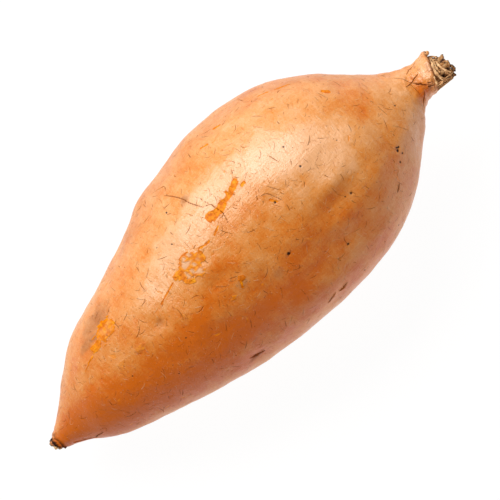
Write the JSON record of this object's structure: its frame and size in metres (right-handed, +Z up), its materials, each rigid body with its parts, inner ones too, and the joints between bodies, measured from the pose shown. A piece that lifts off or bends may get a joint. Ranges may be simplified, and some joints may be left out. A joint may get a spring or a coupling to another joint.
{
  "type": "sweet potato",
  "caption": "Whole orange-skinned sweet potato lying on its side: a tapered, slightly lopsided root with a short snapped stalk at one end and a blunt root tip at the other.",
  "frame": {"origin": "middle of the bounding box's base, on the surface that the root rests on", "axes": "+X along the root, from its thin root tip towards the snapped stalk; +Z up as the root lies at rest; +Y towards its more bulging side"},
  "size_m": [0.1752, 0.0712, 0.0643],
  "materials": {
    "skin": "waxy natural skin"
  },
  "bodies": {
    "root": {"sweet_potato": "skin"}
  },
  "joints": []
}
